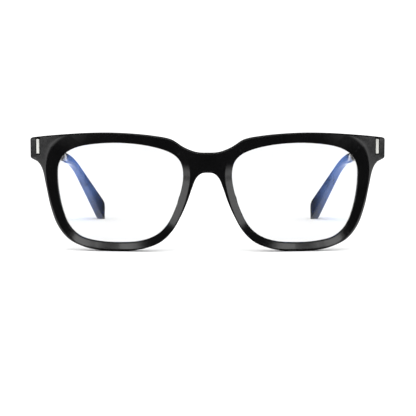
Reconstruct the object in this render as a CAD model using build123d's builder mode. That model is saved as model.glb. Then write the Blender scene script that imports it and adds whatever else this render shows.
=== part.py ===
from build123d import *
import math
import os

os.makedirs("parts", exist_ok=True)

# A pair of full-rim acetate glasses with plano lenses, standing on its rims and temple tips.
# Millimetres, +Z up. The wearer looks along -Y, so the wearer's left side is at +X.
# The origin is on the floor, under the middle of the whole object.

# Driving dimensions of the front
TOTAL_DEPTH = 136.55  # bridge to temple tips
FRONT_Y = -TOTAL_DEPTH / 2  # foremost line of the bridge
FACE_RADIUS = 290.0  # face form: the front follows this upright cylinder
FRONT_THICKNESS = 4.4
END_X = 72.5  # half the width of the front
BRIDGE_TOP = 40.2
BRIDGE_BOTTOM = 32.2
TOP_EDGE_PIECES = 3  # splines that each stretch of outline is drawn in
RIM_EDGE_PIECES = 6
LENS_PIECES = 7
RIM_BEVEL_WIDTH = 2.5
RIM_BEVEL_DEPTH = 0.9
CUT_ROOM = 60.0  # how far profiles run past the front before they are trimmed

# Mitre block: the raised pad behind each end piece that the temple butts on
MITRE_BLOCK_X = 69.0
MITRE_BLOCK_W = 4.8
MITRE_BLOCK_H = 7.4
MITRE_BLOCK_DEPTH = 5.0
MITRE_BLOCK_ROUND = 0.8

# Driving dimensions of the end plaques and nose pads
PLAQUE_X = 69.3
PLAQUE_Z = 42.5
PLAQUE_W = 1.4
PLAQUE_H = 6.4
PLAQUE_T = 0.7
PLAQUE_PROUD = 0.1
PAD_X = 9.5
PAD_Z = 22.5
PAD_W = 3.7
PAD_H = 12.0
PAD_DEPTH = 3.2
PAD_BEVEL = 0.9
PAD_LEAN = 21.6  # degrees from upright
PAD_GLUE = 0.03  # the glue line between a pad and the rim

# Driving dimensions of the lenses
LENS_CENTRE = (35.5, 24.0)
LENS_RADIUS = 132.0  # base curve
LENS_THICKNESS = 1.8
LENS_SET_BACK = 0.6  # lens apex behind the rim's front face
LENS_LIP = 0.75  # how far the lens reaches into the rim's groove
LENS_BEVEL = 0.5
GROOVE_GAP = 0.06

# Driving dimensions of the hinges
HINGE_X = 64.4
HINGE_Z = 42.0
MITRE_Y = FRONT_Y + 14.0  # flat back face of the end piece
MITRE_GAP = 0.12
HINGE_Y = MITRE_Y + MITRE_GAP / 2
KNUCKLE_R = 1.55
KNUCKLE_H = 1.15
KNUCKLE_GAP = 0.06
KNUCKLE_COUNT = 5  # the front holds the first, third and fifth, the temple the others
KNUCKLE_PITCH = KNUCKLE_H + KNUCKLE_GAP
KNUCKLES_H = KNUCKLE_COUNT * KNUCKLE_PITCH - KNUCKLE_GAP
LEAF_T = 1.0
LEAF_RECESS = 0.5
FRONT_LEAF_X = 61.9
FRONT_LEAF_W = 4.2
FRONT_LEAF_H = 5.6
TEMPLE_LEAF_Y = MITRE_Y + 6.4  # middle of the leaf on the temple
TEMPLE_LEAF_L = 9.2
TEMPLE_LEAF_H = 4.4
TEMPLE_LEAF_Z = 41.5
LEAF_CORNER_R = 1.0
TONGUE_IN = 0.4  # where the tongues start, in from the middle or the end of their leaf
TONGUE_END = 1.4
RIVET_R = 0.55
RIVET_HEAD_R = 0.95
RIVET_HEAD_H = 0.35
RIVET_HEAD_TAPER = 35.0
RIVET_SPREAD = 3.0
FRONT_RIVET_LENGTH = 2.4
TEMPLE_RIVET_LENGTH = 0.8
SCREW_R = 0.65
FRONT_BORE_R = 0.65
TEMPLE_BORE_R = 0.69
SCREW_HEAD_R = 1.15
SCREW_HEAD_H = 0.55
SCREW_SLOT = 0.3

# Driving dimensions of the temples
TEMPLE_X = 68.2  # middle of the temple's thickness at the hinge
TEMPLE_T = 3.8
TEMPLE_INNER_X = TEMPLE_X - TEMPLE_T / 2
TIP_T = 3.6
TEMPLE_Y = MITRE_Y + MITRE_GAP
DROP_ANGLE = 50.0  # degrees below level, behind the ear
BEND_Y = FRONT_Y + 105.7  # where the drop starts to run inwards
BEND_Z = 37.2
DROP_LENGTH = 50.0  # from that bend to beyond the tip
INWARD_SLOPE = 0.365  # sideways per unit of length down the drop
PLAN_BEND_R = 30.0
WIRE_H = 1.6
WIRE_T = 1.0
WIRE_BEND_R = 18.0


def face_y(x, behind=0.0):
    """Y of the front's curved face at x, or of the surface a distance behind it."""
    radius = FACE_RADIUS - behind
    return FRONT_Y + FACE_RADIUS - math.sqrt(radius**2 - x**2)


def face_plane(x, z, behind=0.0):
    """A plane square to the face form at x, whose normal points forward, out of the front."""
    lean = math.asin(x / (FACE_RADIUS - behind))
    return Plane(
        origin=(x, face_y(x, behind), z),
        x_dir=(math.cos(lean), math.sin(lean), 0),
        z_dir=(math.sin(lean), -math.cos(lean), 0),
    )


def save(piece, name):
    """Label a finished piece and write it to its own STEP file."""
    piece.part.label = name
    export_step(piece.part, f"parts/{name}.step")


def save_pair(piece, name):
    """Write a piece made for the wearer's left side, and its mirror image for the right."""
    save(piece, f"{name}_left")
    with BuildPart() as other:
        mirror(piece.part, about=Plane.YZ)
    save(other, f"{name}_right")


# Outline of one lens opening, seen from the front, clockwise from the top middle.
LENS_OUTLINE = [
    (36.2, 44.1), (46.0, 43.6), (53.5, 42.1), (58.4, 39.3), (60.9, 35.0),
    (61.3, 29.5), (60.7, 23.0), (59.2, 16.4), (56.5, 10.0), (52.0, 5.8),
    (45.0, 3.9), (36.5, 3.4), (28.0, 4.0), (21.4, 6.3), (16.6, 10.7),
    (13.3, 17.0), (10.8, 24.8), (9.9, 31.5), (11.3, 37.0), (15.6, 40.5),
    (25.0, 43.1),
]

# Upper and lower edges of half the front, from the bridge outwards.
TOP_EDGE = [
    (0, BRIDGE_TOP), (4.7, 40.5), (9.6, 42.4), (14.6, 45.5), (20.5, 46.8),
    (30.0, 47.8), (41.0, 48.2), (54.0, 47.7), (END_X, 45.9),
]
RIM_EDGE = [
    (69.6, 36.3), (67.6, 33.2), (66.1, 26.5), (64.3, 18.1), (61.4, 10.3),
    (56.8, 4.7), (50.0, 1.5), (43.5, 0.3), (37.5, 0), (31.0, 0.3),
    (24.5, 1.6), (18.8, 4.1), (14.3, 8.5), (10.8, 14.5), (8.2, 20.4),
    (6.2, 26.1), (4.6, 29.9), (2.6, 31.8), (0, BRIDGE_BOTTOM),
]
END_CORNER = (END_X, 37.7)
END_CORNER_R = 0.9

# Side profile of a temple: butt top, upper bend, tip, resting flat, lower bend and butt bottom.
TEMPLE_SIDE = [
    (TEMPLE_Y, 46.0), (FRONT_Y + 110.0, 33.0), (FRONT_Y + 137.4, 7.8), (FRONT_Y + 130.0, 0),
    (FRONT_Y + 128.0, 0), (FRONT_Y + 112.8, 27.8), (TEMPLE_Y, 38.4),
]
TEMPLE_SIDE_R = [0.4, 25.0, 2.0, 1.2, 1.2, 16.0, 0.4]
WIRE_SIDE = [(TEMPLE_Y + 2.0, 42.0), (FRONT_Y + 111.4, 30.4), (FRONT_Y + 125.0, 13.5)]

front_view = Plane.XZ.offset(-FRONT_Y + 1.0)  # just in front of the bridge, normal forwards


def smooth_run(points, pieces, start=None, end=None):
    """Splines in tangent through a run of points, or round a closed loop if no end slopes are given."""
    closed = start is None
    count = len(points) if closed else len(points) - 1

    def slope(i):
        if not closed and i in (0, count):
            return Vector(*(end if i else start))
        return Vector(*points[(i + 1) % len(points)]) - Vector(*points[i - 1])

    cuts = [round(count * k / pieces) for k in range(pieces + 1)]
    for first, last in zip(cuts, cuts[1:]):
        through = [points[i % len(points)] for i in range(first, last + 1)]
        Spline(*through, tangents=[slope(first), slope(last % len(points) if closed else last)])


def grown(points, amount):
    """A clockwise loop of points, each moved outwards by an amount."""
    moved = []
    for before, here, after in zip(points[-1:] + points[:-1], points, points[1:] + points[:1]):
        along = (Vector(*after) - Vector(*before)).normalized()
        moved.append((here[0] - along.Y * amount, here[1] + along.X * amount))
    return moved


def lens_blank(grow):
    """A bevel-edged curved disc: the lens itself, or the slightly larger cutter for its groove."""
    apex = face_plane(*LENS_CENTRE)
    centre = apex.origin - apex.z_dir * (LENS_RADIUS + LENS_SET_BACK)
    with BuildPart() as blank:
        with BuildSketch(front_view):
            with BuildLine():
                Spline(*grown(LENS_OUTLINE, LENS_LIP + grow), periodic=True)
            make_face()
        extrude(amount=-CUT_ROOM)
        with Locations(centre):
            Sphere(LENS_RADIUS + grow, mode=Mode.INTERSECT)
            Sphere(LENS_RADIUS - LENS_THICKNESS - grow, mode=Mode.SUBTRACT)
        chamfer(blank.faces().filter_by(GeomType.SPHERE).edges(), LENS_BEVEL)
    return blank


def knuckles(numbers, tongue, bore_r):
    """Barrels on the hinge line, each with a tongue to its leaf, added to the part being built."""
    for number in numbers:
        base = Plane.XY.offset(HINGE_Z - KNUCKLES_H / 2 + number * KNUCKLE_PITCH)
        with BuildSketch(base) as profile:
            with BuildLine():
                Polyline(*tongue, close=True)
            make_face()
            with Locations((HINGE_X, HINGE_Y)):
                Circle(KNUCKLE_R)
                Circle(bore_r, mode=Mode.SUBTRACT)
        extrude(profile.sketch, amount=KNUCKLE_H)


def rivets(plane, spots, shank):
    """Rivets set down through a leaf's outer face, which is the given plane, into what is behind."""
    with BuildPart() as pair:
        with BuildSketch(plane):
            with Locations(*spots):
                Circle(RIVET_HEAD_R)
        extrude(amount=RIVET_HEAD_H, taper=RIVET_HEAD_TAPER)
        with BuildSketch(plane):
            with Locations(*spots):
                Circle(RIVET_R)
        extrude(amount=-shank)
    return pair


# Lenses: plano discs with a curved face, their edges bevelled to sit in the rims' grooves.
lens = lens_blank(0)
save_pair(lens, "lens")

# Front hinge leaves: let into the back of the end pieces, with three knuckles each.
leaf_seat = face_plane(FRONT_LEAF_X, HINGE_Z, FRONT_THICKNESS - LEAF_RECESS)
leaf_middle = leaf_seat.offset(-LEAF_T / 2)
tongue_root = [leaf_middle.from_local_coords((x, 0, 0)) for x in (TONGUE_IN, FRONT_LEAF_W / 2)]
tongue_side = KNUCKLE_R * math.sqrt(0.5)
front_tongue = [
    *[(point.X, point.Y) for point in tongue_root],
    (HINGE_X + tongue_side, HINGE_Y - tongue_side),
    (HINGE_X - tongue_side, HINGE_Y + tongue_side),
]
leaf_outside = Plane(leaf_seat.offset(-LEAF_T).origin, leaf_seat.x_dir, -leaf_seat.z_dir)
front_rivet_spots = [(0, shift) for shift in (-RIVET_SPREAD / 2, RIVET_SPREAD / 2)]
front_rivets = rivets(leaf_outside, front_rivet_spots, LEAF_T + FRONT_RIVET_LENGTH)
save_pair(front_rivets, "front_rivets")
with BuildPart() as front_hinge:
    with BuildSketch(leaf_seat):
        RectangleRounded(FRONT_LEAF_W, FRONT_LEAF_H, LEAF_CORNER_R)
    extrude(amount=-LEAF_T)
    knuckles((0, 2, 4), front_tongue, FRONT_BORE_R)
    add(front_rivets.part, mode=Mode.SUBTRACT)
save_pair(front_hinge, "front_hinge")

# Hinge screws: tight in the front knuckles, running in the temple knuckles, with a slotted head.
with BuildPart() as hinge_screw:
    screw_top = HINGE_Z + KNUCKLES_H / 2
    with BuildSketch(Plane.XY.offset(screw_top)):
        with Locations((HINGE_X, HINGE_Y)):
            Circle(SCREW_R)
    extrude(amount=-KNUCKLES_H)
    with BuildSketch(Plane.XY.offset(screw_top)):
        with Locations((HINGE_X, HINGE_Y)):
            Circle(SCREW_HEAD_R)
    extrude(amount=SCREW_HEAD_H)
    with BuildSketch(Plane.XY.offset(screw_top + SCREW_HEAD_H)):
        with Locations((HINGE_X, HINGE_Y)):
            Rectangle(2 * SCREW_HEAD_R + SCREW_SLOT, SCREW_SLOT)
    extrude(amount=-SCREW_SLOT, mode=Mode.SUBTRACT)
save_pair(hinge_screw, "hinge_screw")

# Plaques: bright metal strips, bonded in the fronts of the end pieces.
plaque_seat = face_plane(PLAQUE_X, PLAQUE_Z, PLAQUE_T)
with BuildPart() as front_plaque:
    with BuildSketch(plaque_seat):
        Rectangle(PLAQUE_W, PLAQUE_H)
    extrude(amount=PLAQUE_T + PLAQUE_PROUD)
save_pair(front_plaque, "front_plaque")

# Front: one milled plate of acetate with both rims, the bridge and the end pieces.
with BuildPart() as front_frame:
    with BuildSketch(front_view):
        with BuildLine():
            smooth_run(TOP_EDGE, TOP_EDGE_PIECES, start=(1, 0), end=(1, -0.14))
            Polyline(TOP_EDGE[-1], END_CORNER, RIM_EDGE[0])
            smooth_run(RIM_EDGE, RIM_EDGE_PIECES, start=(-0.75, -0.66), end=(-1, 0))
            mirror(about=Plane.YZ)
        make_face()
    extrude(amount=-CUT_ROOM)
    uprights = front_frame.edges().filter_by(Axis.Y)
    fillet(uprights.filter_by(lambda edge: abs(edge.center().X) > END_X - 1), END_CORNER_R)
    with Locations((0, FRONT_Y + FACE_RADIUS, 0)):
        Cylinder(FACE_RADIUS, 2 * CUT_ROOM, mode=Mode.INTERSECT)
        Cylinder(FACE_RADIUS - FRONT_THICKNESS, 2 * CUT_ROOM, mode=Mode.SUBTRACT)
    for side in (-1, 1):
        with BuildSketch(front_view):
            with BuildLine():
                smooth_run([(side * x, z) for x, z in LENS_OUTLINE], LENS_PIECES)
            make_face()
        extrude(amount=-CUT_ROOM, mode=Mode.SUBTRACT)
    main_faces = front_frame.faces().filter_by(GeomType.CYLINDER).sort_by(SortBy.AREA)[-2:]
    front_face = main_faces.sort_by(Axis.Y)[0]
    openings = [edge for wire in front_face.inner_wires() for edge in wire.edges()]
    chamfer(openings, RIM_BEVEL_WIDTH, RIM_BEVEL_DEPTH, reference=front_face)
    with BuildSketch(Plane.XZ.offset(-MITRE_Y)):
        with Locations((-MITRE_BLOCK_X, HINGE_Z), (MITRE_BLOCK_X, HINGE_Z)):
            RectangleRounded(MITRE_BLOCK_W, MITRE_BLOCK_H, MITRE_BLOCK_ROUND)
    extrude(amount=MITRE_BLOCK_DEPTH)
    fitted = [lens_blank(GROOVE_GAP), front_hinge, front_rivets, front_plaque]
    for piece in fitted:
        add(piece.part, mode=Mode.SUBTRACT)
        add(piece.part.mirror(Plane.YZ), mode=Mode.SUBTRACT)
save(front_frame, "front_frame")

# Nose pads: domed ovals of acetate, glued to the back of the rims beside the bridge.
with BuildPart() as nose_pad:
    with BuildSketch(Plane.XZ.offset(-FRONT_Y - FRONT_THICKNESS)):
        with Locations((PAD_X, PAD_Z)):
            SlotOverall(PAD_H, PAD_W, rotation=90 + PAD_LEAN)
    extrude(amount=-PAD_DEPTH)
    chamfer(nose_pad.faces().sort_by(Axis.Y)[-1].edges(), PAD_BEVEL)
    with Locations((0, FRONT_Y + FACE_RADIUS, 0)):
        Cylinder(FACE_RADIUS - FRONT_THICKNESS - PAD_GLUE, 2 * CUT_ROOM, mode=Mode.INTERSECT)
save_pair(nose_pad, "nose_pad")

# Temple hinge leaves: let into the inner face of the temples, with two knuckles each.
leaf_under = Plane.YZ.offset(TEMPLE_INNER_X + LEAF_RECESS)
leaf_top = Plane(leaf_under.offset(-LEAF_T).origin, (0, -1, 0), (-1, 0, 0))
rivet_spots = [(-TEMPLE_LEAF_Y - shift, TEMPLE_LEAF_Z) for shift in (RIVET_SPREAD, 0)]
temple_rivets = rivets(leaf_top, rivet_spots, LEAF_T + TEMPLE_RIVET_LENGTH)
save_pair(temple_rivets, "temple_rivets")
leaf_start = TEMPLE_LEAF_Y - TEMPLE_LEAF_L / 2
temple_tongue = [
    (HINGE_X - tongue_side, HINGE_Y + tongue_side),
    (HINGE_X + KNUCKLE_R, HINGE_Y),
    (TEMPLE_INNER_X, leaf_start + TONGUE_IN),
    (TEMPLE_INNER_X - LEAF_T / 2, leaf_start + TONGUE_END),
]
with BuildPart() as temple_hinge:
    with BuildSketch(leaf_under):
        with Locations((TEMPLE_LEAF_Y, TEMPLE_LEAF_Z)):
            RectangleRounded(TEMPLE_LEAF_L, TEMPLE_LEAF_H, LEAF_CORNER_R)
    extrude(amount=-LEAF_T)
    knuckles((1, 3), temple_tongue, TEMPLE_BORE_R)
    add(temple_rivets.part, mode=Mode.SUBTRACT)
save_pair(temple_hinge, "temple_hinge")


def trim_to_plan(thickness, tip_thickness):
    """Cut the strip being built to the temple's plan, looked at square to the drop."""
    drop = math.radians(DROP_ANGLE)
    across = Plane((0, BEND_Y, BEND_Z), (1, 0, 0), (0, math.sin(drop), math.cos(drop)))
    start = -2 * CUT_ROOM
    end_x = TEMPLE_X - INWARD_SLOPE * DROP_LENGTH
    with BuildSketch(across) as plan:
        with BuildLine():
            FilletPolyline(
                (TEMPLE_X + thickness / 2, start),
                (TEMPLE_X + thickness / 2, 0),
                (end_x + tip_thickness / 2, DROP_LENGTH),
                radius=PLAN_BEND_R + thickness,
            )
            FilletPolyline(
                (TEMPLE_X - thickness / 2, start),
                (TEMPLE_X - thickness / 2, 0),
                (end_x - tip_thickness / 2, DROP_LENGTH),
                radius=PLAN_BEND_R,
            )
            Line((TEMPLE_X + thickness / 2, start), (TEMPLE_X - thickness / 2, start))
            Line((end_x + tip_thickness / 2, DROP_LENGTH), (end_x - tip_thickness / 2, DROP_LENGTH))
        make_face()
    extrude(plan.sketch, amount=2 * CUT_ROOM, both=True, mode=Mode.INTERSECT)


# Core wires: stiffening wires shot into the temples from the hinge end.
side_view = Plane.YZ.offset(TEMPLE_X - CUT_ROOM / 2)
with BuildPart() as core_wire:
    with BuildSketch(side_view):
        with BuildLine():
            FilletPolyline(*WIRE_SIDE, radius=WIRE_BEND_R)
        trace(line_width=WIRE_H)
    extrude(amount=CUT_ROOM)
    trim_to_plan(WIRE_T, WIRE_T)
save_pair(core_wire, "core_wire")

# Temples: sawn to a side profile that bends down behind the ear, and bent inwards to the tip.
with BuildPart() as temple:
    with BuildSketch(side_view):
        with BuildLine():
            FilletPolyline(*TEMPLE_SIDE, radius=TEMPLE_SIDE_R, close=True)
        make_face()
    extrude(amount=CUT_ROOM)
    trim_to_plan(TEMPLE_T, TIP_T)
    for piece in (core_wire, temple_hinge, temple_rivets):
        add(piece.part, mode=Mode.SUBTRACT)
save_pair(temple, "temple")
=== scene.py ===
import math

import bmesh
import bpy
import numpy as np
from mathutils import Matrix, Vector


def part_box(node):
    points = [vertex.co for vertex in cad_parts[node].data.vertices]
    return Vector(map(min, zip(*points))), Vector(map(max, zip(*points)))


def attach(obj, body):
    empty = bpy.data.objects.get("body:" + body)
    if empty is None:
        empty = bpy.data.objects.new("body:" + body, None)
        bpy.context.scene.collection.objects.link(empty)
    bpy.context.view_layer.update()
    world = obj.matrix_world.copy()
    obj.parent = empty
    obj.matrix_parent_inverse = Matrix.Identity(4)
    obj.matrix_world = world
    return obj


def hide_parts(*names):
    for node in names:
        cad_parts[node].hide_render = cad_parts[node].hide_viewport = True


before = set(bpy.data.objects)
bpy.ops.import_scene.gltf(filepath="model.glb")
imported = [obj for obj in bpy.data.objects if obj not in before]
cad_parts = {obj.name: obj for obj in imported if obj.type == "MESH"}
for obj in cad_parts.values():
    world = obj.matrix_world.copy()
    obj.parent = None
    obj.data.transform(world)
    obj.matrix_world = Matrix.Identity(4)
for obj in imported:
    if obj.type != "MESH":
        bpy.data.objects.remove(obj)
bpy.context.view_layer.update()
MM = 0.001
SIDES = (("left", 1.0), ("right", -1.0))

# ---- Front ---------------------------------------------------------------------------------------
# One plate of black acetate, milled to the two rims, the bridge and the end pieces.
# A wide bevel is cut round each lens opening and the whole plate is tumbled until it is glossy.

FRONT_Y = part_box("front_frame")[0].y / MM  # foremost line of the bridge, in millimetres like the rest
FACE_R = 290.0  # the front follows this upright cylinder
PLATE_T = 4.4
LEAST_T = 1.2  # kept behind the deepest cut
TOP_EDGE = [(0, 40.2), (4.7, 40.5), (9.6, 42.4), (14.6, 45.5), (20.5, 46.8), (30, 47.8),
            (41, 48.2), (54, 47.7), (72.5, 45.9)]
TOP_SLOPES = (1, 0), (1, -0.14)  # level at the bridge, falling a little at the end piece
RIM_EDGE = [(69.6, 36.3), (67.6, 33.2), (66.1, 26.5), (64.3, 18.1), (61.4, 10.3), (56.8, 4.7),
            (50, 1.5), (43.5, 0.3), (37.5, 0), (31, 0.3), (24.5, 1.6), (18.8, 4.1), (14.3, 8.5),
            (10.8, 14.5), (8.2, 20.4), (6.2, 26.1), (4.6, 29.9), (2.6, 31.8), (0, 32.2)]
RIM_SLOPES = (-0.75, -0.66), (-1, 0)
LENS_EDGE = [(36.2, 44.1), (46, 43.6), (53.5, 42.1), (58.4, 39.3), (60.9, 35), (61.3, 29.5),
             (60.7, 23), (59.2, 16.4), (56.5, 10), (52, 5.8), (45, 3.9), (36.5, 3.4), (28, 4),
             (21.4, 6.3), (16.6, 10.7), (13.3, 17), (10.8, 24.8), (9.9, 31.5), (11.3, 37),
             (15.6, 40.5), (25, 43.1)]
END_CORNER = (72.5, 37.7)
END_RADII = [0.9, 0.9, 0.5]  # upper corner, lower corner, and where the end piece meets the rim
EDGE_R = 0.42  # roundings left by tumbling: front edge, back edge, and both lips of the lens opening
BACK_EDGE_R = 0.5
LIP_R = 0.12
BACK_LIP_R = 0.35
# Width of the lens bevel by clock angle from the wearer's left (0) through the top (90).
BEVEL_ANGLES = [0, 14, 24, 40, 58, 75, 90, 130, 160, 180, 230, 270, 310, 340, 360]
BEVEL_WIDTHS = [4.5, 5.0, 5.9, 6.1, 5.2, 4.1, 3.7, 3.8, 3.3, 3.0, 2.9, 2.5, 2.9, 3.7, 4.5]
BEVEL_DEPTH = 1.0  # at most; narrow stretches keep to the slope
BEVEL_SLOPE = 0.3
BEVEL_SOFT = 0.035  # blend at the bevel's upper corner, as a share of its width
FACET_WIDTH = 1.6  # the outer end of each end piece is turned back by a narrow facet
FACET_DEPTH = 0.3
FACET_SOFT = 0.08


def curve_through(points, start=None, end=None, per=24):
    """Smooth run through points: Hermite pieces whose slope at each point is the chord between its
    neighbours, or the slope given at an end. Without end slopes the run closes on itself."""
    p = np.array(points, float)
    if start is None:
        p = np.vstack([p[-1], p, p[0], p[1]])
        slope = (p[2:] - p[:-2]) / 2
        a, b, sa, sb = p[1:-2], p[2:-1], slope[:-1], slope[1:]
    else:
        slope = np.vstack([start, (p[2:] - p[:-2]) / 2, end]).astype(float)
        first, last = np.linalg.norm(p[1] - p[0]), np.linalg.norm(p[-1] - p[-2])
        slope[0] *= first / np.linalg.norm(slope[0])
        slope[-1] *= last / np.linalg.norm(slope[-1])
        a, b, sa, sb = p[:-1], p[1:], slope[:-1], slope[1:]
    chord = np.linalg.norm(b - a, axis=1)[:, None]
    sa = sa / np.linalg.norm(sa, axis=1)[:, None] * chord
    sb = sb / np.linalg.norm(sb, axis=1)[:, None] * chord
    t = np.arange(per)[None, :, None] / per
    a, b, sa, sb = a[:, None], b[:, None], sa[:, None], sb[:, None]
    places = (2*t**3 - 3*t**2 + 1) * a + (3*t**2 - 2*t**3) * b
    slopes = (t**3 - 2*t**2 + t) * sa + (t**3 - t**2) * sb
    run = (places + slopes).reshape(-1, 2)
    return run if start is None else np.vstack([run, p[-1]])


def spaced(line, step):
    """The same line with its points an even step apart along its length."""
    along = np.r_[0, np.cumsum(np.linalg.norm(np.diff(line, axis=0), axis=1))]
    at = np.linspace(0, along[-1], max(2, int(along[-1] / step)))
    return np.stack([np.interp(at, along, line[:, i]) for i in (0, 1)], 1)


def rounded_path(points, radii, per=10):
    """Straight runs joined by arcs: each inner corner is replaced by points on a circle of its radius."""
    pts = [np.array(p, float) for p in points]
    out = [pts[0]]
    for before, corner, after, r in zip(pts[:-2], pts[1:-1], pts[2:], radii):
        u, v = before - corner, after - corner
        u, v = u / np.linalg.norm(u), v / np.linalg.norm(v)
        half = math.acos(np.clip(u @ v, -1, 1)) / 2
        reach = r / math.tan(half)
        middle = corner + (u + v) / np.linalg.norm(u + v) * r / math.sin(half)
        ends = corner + u * reach - middle, corner + v * reach - middle
        a0 = math.atan2(ends[0][1], ends[0][0])
        turn = (math.atan2(ends[1][1], ends[1][0]) - a0 + math.pi) % (2 * math.pi) - math.pi
        out += [middle + r * np.array([math.cos(a0 + turn * k / per), math.sin(a0 + turn * k / per)])
                for k in range(per + 1)]
    return np.array(out + [pts[-1]])


def nearest(points, line, batch=2000):
    """Distance from each point to the closest segment of a line, a batch of points at a time."""
    a, b = line[:-1], line[1:]
    ab = b - a
    best = np.empty(len(points))
    for lo in range(0, len(points), batch):
        ap = points[lo:lo + batch, None] - a[None]
        t = np.clip((ap * ab).sum(2) / (ab * ab).sum(1), 0, 1)[..., None]
        best[lo:lo + batch] = np.sqrt(((ap - t * ab) ** 2).sum(2)).min(1)
    return best


def face_y(x, behind):
    """Y of the face cylinder at x, a distance behind the plate's front surface."""
    return FRONT_Y + FACE_R - np.sqrt((FACE_R - behind) ** 2 - x ** 2)


def quads(rows, cols, wrap_rows, wrap_cols):
    """Quads of a grid of rows and columns, joined round where it wraps."""
    r, c = np.meshgrid(np.arange(rows if wrap_rows else rows - 1),
                       np.arange(cols if wrap_cols else cols - 1), indexing="ij")
    r2, c2 = (r + 1) % rows, (c + 1) % cols
    return np.stack([r * cols + c, r * cols + c2, r2 * cols + c2, r2 * cols + c], 2).reshape(-1, 4)


def solid(name, verts, faces, mat, body, slot, replaces=(), mirror_x=False, weld=0.002):
    """A smooth closed piece from points in millimetres, with doubled points welded and normals outward."""
    mesh = bpy.data.meshes.new(name)
    mesh.from_pydata((np.asarray(verts) * MM).tolist(), [], [list(f) for f in faces])
    bm = bmesh.new()
    bm.from_mesh(mesh)
    if mirror_x:
        copy = bmesh.ops.duplicate(bm, geom=bm.verts[:] + bm.edges[:] + bm.faces[:])["geom"]
        bmesh.ops.scale(bm, vec=(-1, 1, 1), verts=[g for g in copy if isinstance(g, bmesh.types.BMVert)])
    bmesh.ops.remove_doubles(bm, verts=bm.verts, dist=weld * MM)
    bmesh.ops.recalc_face_normals(bm, faces=bm.faces)
    bm.to_mesh(mesh)
    bm.free()
    mesh.shade_smooth()
    mesh.materials.append(mat)
    piece = bpy.data.objects.new(name, mesh)
    bpy.context.scene.collection.objects.link(piece)
    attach(piece, body)
    if replaces:
        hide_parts(*replaces)


def new_group(name, inputs, outputs):
    """An empty shader group with sockets given as (name, type, default)."""
    group = bpy.data.node_groups.new(name, "ShaderNodeTree")
    for label, kind, default in inputs:
        made = group.interface.new_socket(name=label, in_out="INPUT", socket_type=kind)
        made.default_value = default
    for label, kind in outputs:
        group.interface.new_socket(name=label, in_out="OUTPUT", socket_type=kind)
    return group, group.nodes.new("NodeGroupInput"), group.nodes.new("NodeGroupOutput")


def ramp(tree, fac, low, high, low_at, high_at):
    """A straight rise from low to high as fac goes from low_at to high_at."""
    made = tree.nodes.new("ShaderNodeMapRange")
    tree.links.new(fac, made.inputs["Value"])
    made.inputs["From Min"].default_value = low_at
    made.inputs["From Max"].default_value = high_at
    made.inputs["To Min"].default_value = low
    made.inputs["To Max"].default_value = high
    return made.outputs["Result"]


def noise(tree, coords, scale, detail=3.0):
    """Smooth random values over the object, at a scale per metre."""
    made = tree.nodes.new("ShaderNodeTexNoise")
    tree.links.new(coords, made.inputs["Vector"])
    made.inputs["Scale"].default_value = scale
    made.inputs["Detail"].default_value = detail
    return made.outputs["Fac"]


def wear_group():
    """Handling wear: cloudy colour drift, polish marks and haze on the edges that stick out."""
    group, given, out = new_group(
        "handling_wear",
        [("Colour", "NodeSocketColor", (0.5, 0.5, 0.5, 1)), ("Drift", "NodeSocketFloat", 0.1),
         ("Rough", "NodeSocketFloat", 0.2), ("Haze", "NodeSocketFloat", 0.05),
         ("Edge", "NodeSocketFloat", 0.2), ("Grain", "NodeSocketFloat", 0.00001)],
        [("Colour", "NodeSocketColor"), ("Roughness", "NodeSocketFloat"), ("Normal", "NodeSocketVector")])
    coords = group.nodes.new("ShaderNodeTexCoord").outputs["Object"]
    cloud = noise(group, coords, scale=90)
    fine = noise(group, coords, scale=900, detail=5)
    lift = group.nodes.new("ShaderNodeMath")
    lift.operation = "MULTIPLY_ADD"
    centred = ramp(group, cloud, low=-1, high=1, low_at=0.3, high_at=0.7)
    group.links.new(centred, lift.inputs[0])
    group.links.new(given.outputs["Drift"], lift.inputs[1])
    lift.inputs[2].default_value = 1.0
    bright = group.nodes.new("ShaderNodeVectorMath")
    bright.operation = "SCALE"
    group.links.new(given.outputs["Colour"], bright.inputs[0])
    group.links.new(lift.outputs[0], bright.inputs["Scale"])
    sharpness = group.nodes.new("ShaderNodeNewGeometry").outputs["Pointiness"]
    edges = ramp(group, sharpness, low=0, high=1, low_at=0.52, high_at=0.60)
    worn = group.nodes.new("ShaderNodeMath")
    worn.operation = "MULTIPLY"
    group.links.new(edges, worn.inputs[0])
    group.links.new(given.outputs["Edge"], worn.inputs[1])
    paler = group.nodes.new("ShaderNodeMix")
    paler.data_type = "RGBA"
    paler.inputs["B"].default_value = (0.35, 0.35, 0.36, 1)
    group.links.new(worn.outputs[0], paler.inputs[0])
    group.links.new(bright.outputs[0], paler.inputs["A"])
    rough = group.nodes.new("ShaderNodeMath")
    rough.operation = "MULTIPLY_ADD"
    marks = ramp(group, fine, low=0, high=1, low_at=0.35, high_at=0.75)
    group.links.new(marks, rough.inputs[0])
    group.links.new(given.outputs["Haze"], rough.inputs[1])
    group.links.new(given.outputs["Rough"], rough.inputs[2])
    bump = group.nodes.new("ShaderNodeBump")
    bump.inputs["Strength"].default_value = 0.5
    group.links.new(given.outputs["Grain"], bump.inputs["Distance"])
    group.links.new(fine, bump.inputs["Height"])
    group.links.new(paler.outputs["Result"], out.inputs["Colour"])
    group.links.new(rough.outputs[0], out.inputs["Roughness"])
    group.links.new(bump.outputs["Normal"], out.inputs["Normal"])
    return group


WEAR = wear_group()


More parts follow.
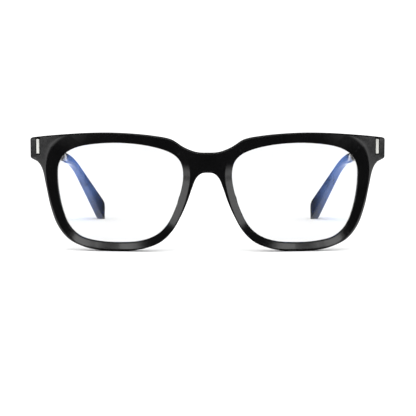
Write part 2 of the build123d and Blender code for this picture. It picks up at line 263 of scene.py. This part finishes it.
def worn_material(name, colour, drift, rough, haze, edge, grain, metallic=0.0, ior=1.49):
    """A Principled surface whose colour, roughness and normal come from the handling wear group."""
    mat = bpy.data.materials.new(name)
    mat.use_nodes = True
    tree = mat.node_tree
    shader = tree.nodes["Principled BSDF"]
    shader.inputs["Metallic"].default_value = metallic
    shader.inputs["IOR"].default_value = ior
    wear = tree.nodes.new("ShaderNodeGroup")
    wear.node_tree = WEAR
    wear.inputs["Colour"].default_value = (*colour, 1)
    amounts = (("Drift", drift), ("Rough", rough), ("Haze", haze), ("Edge", edge), ("Grain", grain))
    for label, value in amounts:
        wear.inputs[label].default_value = value
    tree.links.new(wear.outputs["Colour"], shader.inputs["Base Color"])
    tree.links.new(wear.outputs["Roughness"], shader.inputs["Roughness"])
    tree.links.new(wear.outputs["Normal"], shader.inputs["Normal"])
    return mat


black_acetate = worn_material("black_acetate", (0.002, 0.002, 0.0022), drift=0.3, rough=0.09,
                              haze=0.05, edge=0.012, grain=0.000002)

# The outline of the half front. The smooth edges give up their last points to the end piece's corners.
top_edge = curve_through(TOP_EDGE, *TOP_SLOPES)
rim_edge = curve_through(RIM_EDGE, *RIM_SLOPES)
GIVEN_UP = 8
end_run = rounded_path([top_edge[-GIVEN_UP], top_edge[-1], END_CORNER, rim_edge[0], rim_edge[GIVEN_UP]],
                       END_RADII)
edge_run = np.vstack([top_edge[:-GIVEN_UP], end_run, rim_edge[GIVEN_UP + 1:]])
SAME_POINT = 1e-6
edge_run = edge_run[np.r_[True, np.linalg.norm(np.diff(edge_run, axis=0), axis=1) > SAME_POINT]]
COLUMN_STEP = 0.32
outer = spaced(edge_run, COLUMN_STEP)
outer[0], outer[-1] = TOP_EDGE[0], RIM_EDGE[-1]
opening = curve_through(LENS_EDGE)
opening_loop = np.vstack([opening, opening[:1]])

# Columns of the grid run round the half front: along its edge, then up its middle line to the start.
CREST_Z, SADDLE_Z = TOP_EDGE[0][1], RIM_EDGE[-1][1]
BRIDGE_Z, BRIDGE_HALF = (CREST_Z + SADDLE_Z) / 2, (CREST_Z - SADDLE_Z) / 2
from_edge = np.array([0.04, 0.1, 0.18, 0.28, 0.4, 0.55, 0.8, 1.2, 1.8, 2.6, 3.4])
mid_z = np.r_[SADDLE_Z + from_edge, BRIDGE_Z, (CREST_Z - from_edge)[::-1]]
middle = np.stack([np.zeros(len(mid_z)), mid_z], 1)
column = np.vstack([outer, middle])
on_middle = np.r_[True, np.zeros(len(outer) - 2, bool), np.ones(len(middle) + 1, bool)]
# Inward direction of each column: the edge's normal, sheared along the edge into the middle corners.
SHEAR_REACH = 4.5
tangent = np.gradient(outer, axis=0)
tangent /= np.linalg.norm(tangent, axis=1)[:, None]
inward = np.stack([tangent[:, 1], -tangent[:, 0]], 1)
inward[:, 0] += np.clip(1 - outer[:, 0] / SHEAR_REACH, 0, 1)
inward = np.vstack([inward, np.stack([np.ones(len(mid_z)), (BRIDGE_Z - mid_z) / BRIDGE_HALF], 1)])

# The lens opening's point for each column lies at the same angle about the middle of the lens.
HUB = np.array([35.5, 30.0])
OUTER_ZONE = 0.62  # width of the fine rows that carry the rounded edge


def angle_about_hub(p):
    """Clockwise angle about the hub, unwrapped."""
    return -np.unwrap(np.arctan2(p[:, 1] - HUB[1], p[:, 0] - HUB[0]))


edge_start = column + inward * OUTER_ZONE
wanted = angle_about_hub(edge_start)
BLUR = 9  # columns on each side that a column's angle is averaged over
padded = np.r_[wanted[-BLUR:] - 2 * np.pi, wanted, wanted[:BLUR] + 2 * np.pi]
wanted = np.convolve(padded, np.ones(2 * BLUR + 1) / (2 * BLUR + 1), "valid")
turns = np.array([-4, -2, 0, 2]) * np.pi
opening_angles = (angle_about_hub(opening_loop)[:-1] + turns[:, None]).ravel()
opening_points = np.vstack([opening] * len(turns))
inner = np.stack([np.interp(wanted, opening_angles, opening_points[:, i]) for i in (0, 1)], 1)
inner_t = np.gradient(inner, axis=0)
inner_t /= np.linalg.norm(inner_t, axis=1)[:, None] + 1e-12
outward = np.stack([-inner_t[:, 1], inner_t[:, 0]], 1)


def bevel_width(p):
    """Width of the lens bevel at the clock angle of each point."""
    angle = np.degrees(np.arctan2(p[:, 1] - HUB[1], p[:, 0] - HUB[0])) % 360
    return np.interp(angle, BEVEL_ANGLES, BEVEL_WIDTHS)


# Rows follow the bevel as far as its outer corner, then cross the flat, then bunch up at the edge.
# Where the rim is narrow, the bevel's rows stop short of the edge's.
ROOM_SHARE, ROOM_GAP = 0.93, 0.75
CORNER_SHARE = 0.98  # the last of the bevel's rows lies just inside its outer corner
room_across = np.linalg.norm(edge_start - inner, axis=1) * ROOM_SHARE
room_to_edge = nearest(inner, edge_run) - ROOM_GAP
inner_zone = np.minimum(bevel_width(inner) * CORNER_SHARE, np.minimum(room_across, room_to_edge))
bevel_shares = np.r_[0, 0.03, 0.08, np.linspace(0.15, 1, 14)]
front_rows = [inner + outward * (inner_zone * k)[:, None] for k in bevel_shares]
front_rows += [front_rows[-1] * (1 - k) + edge_start * k for k in (0.15, 0.3, 0.5, 0.7, 0.85)]
edge_rows = [column + inward * d for d in (OUTER_ZONE, 0.5, 0.4, 0.3, 0.2, 0.12, 0.06, 0.02, 0)]
back_rows = [inner + outward * (inner_zone * k)[:, None] for k in (0, 0.02, 0.05, 0.09, 0.14, 0.3, 0.6, 1)]
back_run = [column + inward * d for d in (0, 0.03, 0.08, 0.15, 0.25, 0.38, 0.5, OUTER_ZONE)]
back_run += [back_rows[-1] * k + edge_start * (1 - k) for k in (0.35, 0.7)] + back_rows[::-1]


def round_over(distance, radius):
    """Depth lost to a quarter-round edge, from the full radius at the edge to nothing a radius in."""
    inside = np.clip(radius - distance, 0, radius)
    return radius - np.sqrt(radius ** 2 - inside ** 2)


def soft_ramp(t, soft):
    """t where it is positive and nothing where it is negative, with a smooth corner."""
    return (t + np.sqrt(t ** 2 + soft ** 2)) / 2


def front_depth(p):
    """How far the finished surface lies behind the plate's face: bevel, rounded edge and end facet."""
    to_lens, to_edge = nearest(p, opening_loop), nearest(p, edge_run)
    width = bevel_width(p)
    bevel = np.minimum(BEVEL_DEPTH, BEVEL_SLOPE * width) * soft_ramp(1 - to_lens / width, BEVEL_SOFT)
    past_facet = (p[:, 0] - END_CORNER[0] + FACET_WIDTH) / FACET_WIDTH
    facet = FACET_DEPTH * soft_ramp(past_facet, FACET_SOFT)
    rounding = round_over(to_edge, EDGE_R) + round_over(to_lens, LIP_R)
    return np.clip(bevel + facet + rounding, 0, PLATE_T - LEAST_T)


def back_depth(p):
    """Depth of the back surface, which has softer round edges than the front."""
    to_lens, to_edge = nearest(p, opening_loop), nearest(p, edge_run)
    return PLATE_T - round_over(to_edge, BACK_EDGE_R) - round_over(to_lens, BACK_LIP_R)


def placed(p, depth):
    """Points of the front view set on the face cylinder, a depth behind it."""
    return np.stack([p[:, 0], face_y(p[:, 0], depth), p[:, 1]], 1)


# The shell runs out over the front, back through the edge's wall, in over the back surface and
# forwards through the opening's wall. The wall on the middle line is left out, and a mirrored
# half welds on there.
WALL_SHARES = (0.33, 0.67)
shell = [placed(p, front_depth(p)) for p in front_rows + edge_rows]
wall_first = len(shell) - 1
front_lip, back_lip = front_depth(column), back_depth(column)
shell += [placed(column, front_lip * (1 - k) + back_lip * k) for k in WALL_SHARES]
wall_last = len(shell) - 1
shell += [placed(p, back_depth(p)) for p in back_run]
front_inside, back_inside = front_depth(inner), back_depth(inner)
shell += [placed(inner, back_inside * (1 - k) + front_inside * k) for k in WALL_SHARES]
rows, cols = len(shell), len(column)
faces = quads(rows, cols, True, True)
face_row, face_col = faces[:, 0] // cols, faces[:, 0] % cols
in_wall = (face_row >= wall_first) & (face_row <= wall_last)
on_mid_pair = on_middle[face_col] & on_middle[(face_col + 1) % cols]
solid("front", np.vstack(shell), faces[~(in_wall & on_mid_pair)], black_acetate, "front", "frame_acetate",
      ["front_frame"], mirror_x=True)

# ---- Mitre blocks --------------------------------------------------------------------------------
# The raised pad behind each end piece, left standing when the plate was milled.
# The temple butts against its flat back face when it is open.

MITRE_ROOT_Y = FRONT_Y + 10.0
MITRE_Y = FRONT_Y + 14.0
MITRE_X, MITRE_Z = 69.0, 42.0
MITRE_HALF_W, MITRE_HALF_H = 2.4, 3.7
MITRE_CORNER_R = 0.8
MITRE_EDGE_R = 0.35


def rounded_section(half_w, half_h, radius, per=6):
    """A rounded rectangle about the origin, anticlockwise, with a number of points to each corner."""
    turn = np.linspace(0, math.pi / 2, per)
    corners = []
    for k, (sx, sz) in enumerate(((1, 1), (-1, 1), (-1, -1), (1, -1))):
        angle = turn + k * math.pi / 2
        corners.append(np.stack([sx * (half_w - radius) + radius * np.cos(angle),
                                 sz * (half_h - radius) + radius * np.sin(angle)], 1))
    return np.vstack(corners)


def capped(loops):
    """Points and faces of a tube of equal loops, its two ends closed by a face."""
    count = len(loops[0])
    made = [tuple(f) for f in quads(len(loops), count, False, True)]
    made += [tuple(range(count))[::-1], tuple(range(count * (len(loops) - 1), count * len(loops)))]
    return np.vstack(loops), made


mitre_rings = ((MITRE_ROOT_Y, 0), (MITRE_Y - MITRE_EDGE_R, 0), (MITRE_Y - 0.1, 0.1), (MITRE_Y, MITRE_EDGE_R))
for label, side in SIDES:
    loops = []
    for y, inset in mitre_rings:
        ring = rounded_section(MITRE_HALF_W - inset, MITRE_HALF_H - inset, MITRE_CORNER_R - inset * 0.5)
        x, z = MITRE_X + ring[:, 0], MITRE_Z + ring[:, 1]
        loops.append(np.stack([side * x, np.full(len(ring), y), z], 1))
    solid(f"mitre_block_{label}", *capped(loops), black_acetate, "front", "frame_acetate")

# ---- Lenses --------------------------------------------------------------------------------------
# Clear moulded polycarbonate discs without power, their bevelled edges snapped into the rims.
# Both faces carry a thin coating that reflects blue light.

LENS_CENTRE = (35.5, 24.0)
LENS_R = 132.0
LENS_T = 1.8
LENS_SET_BACK = 0.6  # behind the face of the front, at the lens's centre
RIM_BITE = 0.25  # how far the two faces run past the opening, under the rim
GROOVE_BITE = 0.72  # how far the edge of the disc reaches into the rim
EDGE_HALF_T = 0.4
COAT_COLOUR = (0.17, 0.34, 0.85)
lens_lean = math.asin(LENS_CENTRE[0] / FACE_R)
sphere_x = LENS_CENTRE[0] - (LENS_R + LENS_SET_BACK) * math.sin(lens_lean)
sphere_y = face_y(LENS_CENTRE[0], 0) + (LENS_R + LENS_SET_BACK) * math.cos(lens_lean)


def sphere_cap(p, radius):
    """Y of the front of the lens sphere, or of a smaller one with the same middle, over each point."""
    return sphere_y - np.sqrt(radius ** 2 - (p[:, 0] - sphere_x) ** 2 - (p[:, 1] - LENS_CENTRE[1]) ** 2)


# The coating reflects more and more towards grazing angles, by the fifth power of the lean, and its
# blue drifts a little over the disc. Fingers leave faint smudges.
lens_coat = bpy.data.materials.new("lens_coat")
lens_coat.use_nodes = True
tree = lens_coat.node_tree
tree.nodes.remove(tree.nodes["Principled BSDF"])
clear = tree.nodes.new("ShaderNodeBsdfTransparent")
clear.inputs["Color"].default_value = (0.998, 1.0, 0.998, 1)
sheen = tree.nodes.new("ShaderNodeBsdfGlossy")
facing = tree.nodes.new("ShaderNodeLayerWeight")
facing.inputs["Blend"].default_value = 0.5
grazing = tree.nodes.new("ShaderNodeMath")
grazing.operation = "POWER"
tree.links.new(facing.outputs["Facing"], grazing.inputs[0])
grazing.inputs[1].default_value = 5.0
coords = tree.nodes.new("ShaderNodeTexCoord").outputs["Object"]
uneven = noise(tree, coords, scale=25)
smudges = noise(tree, coords, scale=140)
smudged = ramp(tree, smudges, low=0.12, high=0.17, low_at=0.35, high_at=0.7)
tree.links.new(smudged, sheen.inputs["Roughness"])
ripple = tree.nodes.new("ShaderNodeBump")
ripple.inputs["Strength"].default_value = 0.2
ripple.inputs["Distance"].default_value = 0.000002
tree.links.new(smudges, ripple.inputs["Height"])
tree.links.new(ripple.outputs["Normal"], sheen.inputs["Normal"])
tint = tree.nodes.new("ShaderNodeMix")
tint.data_type = "RGBA"
tint.inputs["A"].default_value = (COAT_COLOUR[0] * 0.9, COAT_COLOUR[1], COAT_COLOUR[2], 1)
tint.inputs["B"].default_value = (COAT_COLOUR[0] * 1.15, COAT_COLOUR[1] * 0.95, COAT_COLOUR[2], 1)
tree.links.new(uneven, tint.inputs[0])
tree.links.new(tint.outputs["Result"], sheen.inputs["Color"])
coat = tree.nodes.new("ShaderNodeMixShader")
reflected = ramp(tree, grazing.outputs[0], low=0.12, high=0.7, low_at=0, high_at=1)
tree.links.new(reflected, coat.inputs[0])
tree.links.new(clear.outputs[0], coat.inputs[1])
tree.links.new(sheen.outputs[0], coat.inputs[2])
tree.links.new(coat.outputs[0], tree.nodes["Material Output"].inputs["Surface"])

disc = opening[::3]
disc_t = np.roll(disc, -1, 0) - np.roll(disc, 1, 0)
disc_t /= np.linalg.norm(disc_t, axis=1)[:, None]
disc_out = np.stack([-disc_t[:, 1], disc_t[:, 0]], 1)
rim_points = disc + disc_out * RIM_BITE
groove_points = disc + disc_out * GROOVE_BITE
shares = np.linspace(0.04, 1, 22)


def lens_face(radius):
    """Rings over one face of the disc, from its centre out to the rim, each on the sphere."""
    rings = []
    for share in shares:
        p = np.array(LENS_CENTRE) * (1 - share) + rim_points * share
        rings.append(np.stack([p[:, 0], sphere_cap(p, radius), p[:, 1]], 1))
    return rings


middle_y = (sphere_cap(groove_points, LENS_R) + sphere_cap(groove_points, LENS_R - LENS_T)) / 2
disc_edge = [np.stack([groove_points[:, 0], middle_y + shift, groove_points[:, 1]], 1)
             for shift in (-EDGE_HALF_T, EDGE_HALF_T)]
for label, side in SIDES:
    rings = lens_face(LENS_R) + disc_edge + lens_face(LENS_R - LENS_T)[::-1]
    rings = [ring * np.array([side, 1, 1]) for ring in rings]
    solid(f"lens_disc_{label}", *capped(rings), lens_coat, "front", "lens", [f"lens_{label}"])

# ---- Nose pads -----------------------------------------------------------------------------------
# Small domed ovals of the same acetate, glued behind the rims beside the bridge and polished.
# Each leans with the side of the nose.

PAD_X, PAD_Z = 9.5, 22.5
PAD_HALF_W, PAD_HALF_L = 1.85, 6.0
PAD_HEIGHT = 3.1
PAD_ROOT = 0.5  # the pad starts this far inside the plate
PAD_BACK_Y = FRONT_Y + 7.55
PAD_DOME = 2.4  # power that the dome's sides fall by
PAD_OVAL = 0.9  # power that squares the oval a little
PAD_LEAST_LENGTH = 0.35  # share of the length that is left at the top of the dome
PAD_SLANT = 0.06  # the outer side of the dome is lower, per millimetre
pad_lean = math.radians(21.6)
turn = np.linspace(0, 2 * math.pi, 40, endpoint=False)
oval_w = np.sign(np.cos(turn)) * np.abs(np.cos(turn)) ** PAD_OVAL
oval_l = np.sign(np.sin(turn)) * np.abs(np.sin(turn)) ** PAD_OVAL
for label, side in SIDES:
    loops = []
    for up in np.r_[-0.12, 0, np.linspace(0.06, 1, 14)]:
        t = max(up, 0)
        shrink = (1 - t ** PAD_DOME) ** 0.5 if t < 1 else 0.02
        a = PAD_HALF_W * shrink * oval_w
        b = PAD_HALF_L * (PAD_LEAST_LENGTH + (1 - PAD_LEAST_LENGTH) * shrink) * oval_l * min(1, shrink * 3)
        x = PAD_X + a * math.cos(pad_lean) - b * math.sin(pad_lean)
        z = PAD_Z + a * math.sin(pad_lean) + b * math.cos(pad_lean)
        y = face_y(x, PLATE_T) - PAD_ROOT * (up < 0) + PAD_HEIGHT * t * (1 - PAD_SLANT * (x - PAD_X))
        loops.append(np.stack([side * x, np.minimum(y, PAD_BACK_Y), z], 1))
    solid(f"pad_{label}", *capped(loops), black_acetate, "front", "pad_acetate", [f"nose_pad_{label}"])

# ---- Plaques -------------------------------------------------------------------------------------
# Bright metal strips bonded in shallow slots in the front of the end pieces.
# The slot is filled by a very dark, rough block that hardly reflects: painted shade, a dark line round the
# strip that stands in for the shadow in the gap.

PLAQUE_X, PLAQUE_Z = 69.3, 42.5
PLAQUE_FLOOR = 0.3  # depth of the slot's floor behind the face
PLAQUE_CORNER_R = 0.18
PLAQUE_CHAMFER, PLAQUE_CHAMFER_DEPTH = 0.07, 0.06
satin_metal = worn_material("satin_metal", (0.52, 0.52, 0.49), drift=0.05, rough=0.42, haze=0.12,
                            edge=0.1, grain=0.000004, metallic=0.35)
# Near black and rough with a low IOR, so it reflects almost nothing: painted shade round the strip.
painted_slot_shade = worn_material("painted_slot_shade", (0.001, 0.001, 0.001), drift=0.3, rough=0.7, haze=0.1,
                           edge=0.0, grain=0.000002, ior=1.2)
for label, side in SIDES:
    for name, half_w, half_h, proud, mat, slot, gone in (
            ("plaque_slot", 0.98, 3.5, 0.02, painted_slot_shade, "frame_acetate", ()),
            ("plaque_strip", 0.6, 2.95, 0.1, satin_metal, "plaque_metal", (f"front_plaque_{label}",))):
        loops = []
        for depth, inset in ((PLAQUE_FLOOR, 0), (PLAQUE_CHAMFER_DEPTH - proud, 0), (-proud, PLAQUE_CHAMFER)):
            ring = rounded_section(half_w - inset, half_h - inset, PLAQUE_CORNER_R)
            x, z = PLAQUE_X + ring[:, 0], PLAQUE_Z + ring[:, 1]
            loops.append(np.stack([side * x, face_y(x, depth), z], 1))
        solid(f"{name}_{label}", *capped(loops), mat, "front", slot, gone)

# ---- Temples -------------------------------------------------------------------------------------
# Strips of black acetate sawn to a side profile that drops behind the ear, tumbled glossy,
# then bent inwards to the tip. A stiffening wire runs inside.

TEMPLE_Y = MITRE_Y + 0.12
TEMPLE_T = 3.8
TIP_T = 3.6
TEMPLE_EDGE_R = 1.25
EDGE_SHARE = 0.48  # of the section, at most, that one rounded edge takes
TOP_RUN = [(TEMPLE_Y, 46.0), (FRONT_Y + 110.0, 33.0), (FRONT_Y + 137.4, 7.8)]
LOW_RUN = [(TEMPLE_Y, 38.4), (FRONT_Y + 112.8, 27.8), (FRONT_Y + 128.0, 0)]
TIP_HEEL = (FRONT_Y + 130.0, 0)
TIP_MIDDLE = (FRONT_Y + 129.0, 0)  # where the upper and lower outlines meet
TOP_BEND_R, LOW_BEND_R = 25.0, 16.0
TIP_CORNER_R, TIP_HEEL_R = 2.0, 1.2
PER_BEND = 24
# The temples' acetate is a dark grey, lighter than the front's black: the black acetate's own colour with
# painted sheen, standing in for light reflected by their inner faces.
acetate_with_painted_sheen = worn_material("acetate_with_painted_sheen", (0.014, 0.0145, 0.016), drift=0.25, rough=0.12,
                                 haze=0.05, edge=0.012, grain=0.000002)
upper = rounded_path(TOP_RUN, [TOP_BEND_R], PER_BEND)
upper_end = rounded_path([*TOP_RUN[1:], TIP_HEEL, TIP_MIDDLE], [TIP_CORNER_R, TIP_HEEL_R], 8)[1:]
upper[-1] = upper_end[0]
lower = rounded_path([*LOW_RUN, TIP_MIDDLE], [LOW_BEND_R, TIP_HEEL_R], PER_BEND)
bend_end = PER_BEND + 2  # first point of the tip's own corner
lower, lower_end = lower[:bend_end + 1], lower[bend_end:]


def along_line(line, shares):
    """Points at shares of a line's length."""
    run = np.r_[0, np.cumsum(np.linalg.norm(np.diff(line, axis=0), axis=1))]
    return np.stack([np.interp(np.asarray(shares) * run[-1], run, line[:, i]) for i in (0, 1)], 1)


body_shares = np.linspace(0, 1, 110)
tip_shares = 1 - np.linspace(1, 0, 26)[1:] ** 1.6
top_line = np.vstack([along_line(upper, body_shares), along_line(upper_end, tip_shares)])
low_line = np.vstack([along_line(lower, body_shares), along_line(lower_end, tip_shares)])

# Behind the ear the strip also runs inwards, by an amount that grows down the drop.
DROP = math.radians(50.0)
BEND_Y, BEND_Z = FRONT_Y + 105.7, 37.2
DROP_LENGTH = 50.0
INWARD_SLOPE = 0.365
TEMPLE_X = 68.2
PLAN_START = -120.0  # measured back up the drop's line, past the hinge
PLAN_BEND_R = 30.0
half_t, half_tip = TEMPLE_T / 2, TIP_T / 2
end_x = TEMPLE_X - INWARD_SLOPE * DROP_LENGTH
outer_x, inner_x = TEMPLE_X + half_t, TEMPLE_X - half_t
outer_plan = rounded_path([(PLAN_START, outer_x), (0, outer_x), (DROP_LENGTH, end_x + half_tip)],
                          [PLAN_BEND_R + TEMPLE_T], PER_BEND)
inner_plan = rounded_path([(PLAN_START, inner_x), (0, inner_x), (DROP_LENGTH, end_x - half_tip)],
                          [PLAN_BEND_R], PER_BEND)
LEAST_HEIGHT, LEAST_R = 0.02, 0.004  # of the section where the outlines meet at the tip
START_RINGS = [(0.0, 0.38), (0.1, 0.12), (0.38, 0.0)]  # push back and inset that round the front end

for label, side in SIDES:
    loops = []
    for k in range(len(top_line) + 2):
        i = max(0, k - 2)
        top, low = top_line[i], low_line[i]
        push, inset = START_RINGS[k] if k < len(START_RINGS) else (0.0, 0.0)
        height = max(np.linalg.norm(top - low), LEAST_HEIGHT)
        up = (top - low) / height if height > LEAST_HEIGHT else np.array([0.0, 1.0])
        edge_r = min(TEMPLE_EDGE_R, EDGE_SHARE * height, EDGE_SHARE * TEMPLE_T)
        ring = rounded_section(half_t - inset, height / 2 - inset, max(edge_r - inset, LEAST_R), 8)
        yz = (top + low) / 2 + ring[:, 1:] * up
        down = (yz[:, 0] + push - BEND_Y) * math.cos(DROP) - (yz[:, 1] - BEND_Z) * math.sin(DROP)
        x_out = np.interp(down, outer_plan[:, 0], outer_plan[:, 1])
        x_in = np.interp(down, inner_plan[:, 0], inner_plan[:, 1])
        x = (x_out + x_in) / 2 + ring[:, 0] / half_t * (x_out - x_in) / 2
        loops.append(np.stack([side * x, yz[:, 0] + push, np.maximum(yz[:, 1], 0)], 1))
    solid(f"temple_bar_{label}", *capped(loops), acetate_with_painted_sheen, f"temple_{label}", "temple_acetate",
          [f"temple_{label}"], weld=0.004)

# ---- Hinges --------------------------------------------------------------------------------------
# Five-barrel hinges of nickel silver, let into the front and the temples and held by steel rivets.
# A slotted steel screw is the pin, and each temple's stiffening wire is drawn from nickel silver.

nickel = worn_material("nickel", (0.62, 0.6, 0.56), drift=0.12, rough=0.24, haze=0.15, edge=0.2,
                       grain=0.000006, metallic=1.0)
steel = worn_material("steel", (0.56, 0.56, 0.55), drift=0.1, rough=0.2, haze=0.12, edge=0.25,
                      grain=0.000004, metallic=1.0)
for label, _ in SIDES:
    for node, mat in (("front_hinge", nickel), ("temple_hinge", nickel), ("core_wire", nickel),
                      ("front_rivets", steel), ("temple_rivets", steel), ("hinge_screw", steel)):
        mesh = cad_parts[f"{node}_{label}"].data
        mesh.materials.clear()
        mesh.materials.append(mat)

# ---- Table ---------------------------------------------------------------------------------------
# A pale table that the glasses stand on. Reflections see it as panels would light it: dark straight
# ahead of the glasses, bright from there out to either side, and dimmer again further off.

TABLE_HALF = 9.0
TABLE_COLOUR = (0.92, 0.92, 0.92, 1)
DARK_GLOW, BRIGHT_GLOW = 0.05, 2.1
FLAG_SPREAD = 0.5  # the dark wedge widens by this much for each metre ahead
table_white = bpy.data.materials.new("table_white")
table_white.use_nodes = True
tree = table_white.node_tree
tree.nodes.remove(tree.nodes["Principled BSDF"])
paper = tree.nodes.new("ShaderNodeBsdfDiffuse")
paper.inputs["Color"].default_value = TABLE_COLOUR
shade = tree.nodes.new("ShaderNodeEmission")
spot = tree.nodes.new("ShaderNodeSeparateXYZ")
tree.links.new(tree.nodes.new("ShaderNodeTexCoord").outputs["Object"], spot.inputs[0])
off_middle = tree.nodes.new("ShaderNodeMath")
off_middle.operation = "ABSOLUTE"
tree.links.new(spot.outputs["X"], off_middle.inputs[0])
ahead = ramp(tree, spot.outputs["Y"], low=2.0, high=0.001, low_at=-2.02, high_at=-0.021)
past_flag = tree.nodes.new("ShaderNodeMath")
past_flag.operation = "MULTIPLY_ADD"
tree.links.new(ahead, past_flag.inputs[0])
past_flag.inputs[1].default_value = -FLAG_SPREAD
tree.links.new(off_middle.outputs[0], past_flag.inputs[2])
near_only = tree.nodes.new("ShaderNodeMath")
near_only.operation = "MULTIPLY"
panels = ramp(tree, past_flag.outputs[0], low=DARK_GLOW, high=BRIGHT_GLOW, low_at=0.020, high_at=0.046)
tree.links.new(panels, near_only.inputs[0])
fading = ramp(tree, off_middle.outputs[0], low=1, high=0.2, low_at=0.30, high_at=0.42)
tree.links.new(fading, near_only.inputs[1])
tree.links.new(near_only.outputs[0], shade.inputs["Strength"])
paths = tree.nodes.new("ShaderNodeLightPath")
pick = tree.nodes.new("ShaderNodeMixShader")
tree.links.new(paths.outputs["Is Glossy Ray"], pick.inputs[0])
tree.links.new(paper.outputs[0], pick.inputs[1])
tree.links.new(shade.outputs[0], pick.inputs[2])
tree.links.new(pick.outputs[0], tree.nodes["Material Output"].inputs["Surface"])
mesh = bpy.data.meshes.new("table")
corners = [(x * TABLE_HALF, y * TABLE_HALF, 0) for x, y in ((-1, -1), (1, -1), (1, 1), (-1, 1))]
mesh.from_pydata(corners, [], [(0, 1, 2, 3)])
mesh.materials.append(table_white)
table = bpy.data.objects.new("table", mesh)
bpy.context.scene.collection.objects.link(table)

# ---- Lights --------------------------------------------------------------------------------------
# A white light tent with soft boxes at both sides, in front and overhead.
# Reflections see the tent's own walls as nearly dark, so that only the boxes shine in the acetate.

TENT_GLOW, TENT_GLOW_IN_REFLECTIONS = 1.3, 0.04
BOX_AIM = np.array([0, -0.06, 0.03])
world = bpy.data.worlds.new("tent")
bpy.context.scene.world = world
world.use_nodes = True
tree = world.node_tree
sky = tree.nodes["Background"]
sky.inputs["Color"].default_value = (1, 1, 1, 1)
paths = tree.nodes.new("ShaderNodeLightPath")
glow = ramp(tree, paths.outputs["Is Glossy Ray"], low=TENT_GLOW, high=TENT_GLOW_IN_REFLECTIONS,
            low_at=0, high_at=1)
tree.links.new(glow, sky.inputs["Strength"])


def soft_box(name, azimuth, elevation, distance, width, height, radiance):
    """An area light of even brightness, facing the object from a direction round the camera's."""
    a, e = math.radians(azimuth), math.radians(elevation)
    lamp = bpy.data.lights.new(name, "AREA")
    lamp.shape = "RECTANGLE"
    lamp.size, lamp.size_y = width, height
    lamp.energy = radiance * math.pi * width * height
    box = bpy.data.objects.new(name, lamp)
    away = np.array([math.sin(a) * math.cos(e), -math.cos(a) * math.cos(e), math.sin(e)])
    box.location = BOX_AIM + away * distance
    box.rotation_euler = (math.pi / 2 - e, 0, a)
    box.visible_camera = False
    bpy.context.scene.collection.objects.link(box)


for label, azimuth in (("right", 50.5), ("left", -50.5)):
    soft_box(f"side_box_{label}", azimuth, elevation=4, distance=1.2, width=0.75, height=0.24, radiance=2.6)
soft_box("front_strip", azimuth=0, elevation=24, distance=1.2, width=0.85, height=0.2, radiance=3.4)
soft_box("top_box", azimuth=0, elevation=75, distance=1.0, width=0.9, height=0.6, radiance=1.5)

# ---- Camera --------------------------------------------------------------------------------------
# In front of the bridge and square to it, a little above the glasses and looking slightly down.

CAMERA_AWAY = 0.61  # from the bridge, in metres
CAMERA_TILT = 5.573
camera_data = bpy.data.cameras.new("camera")
camera_data.sensor_width = 36.0
camera_data.lens = 131.19
camera = bpy.data.objects.new("camera", camera_data)
camera.location = (0.00018, FRONT_Y * MM - CAMERA_AWAY, 0.0775)
camera.rotation_euler = (math.radians(90 - CAMERA_TILT), 0, 0)
bpy.context.scene.collection.objects.link(camera)
bpy.context.scene.camera = camera
bpy.context.scene.view_settings.view_transform = "Standard"
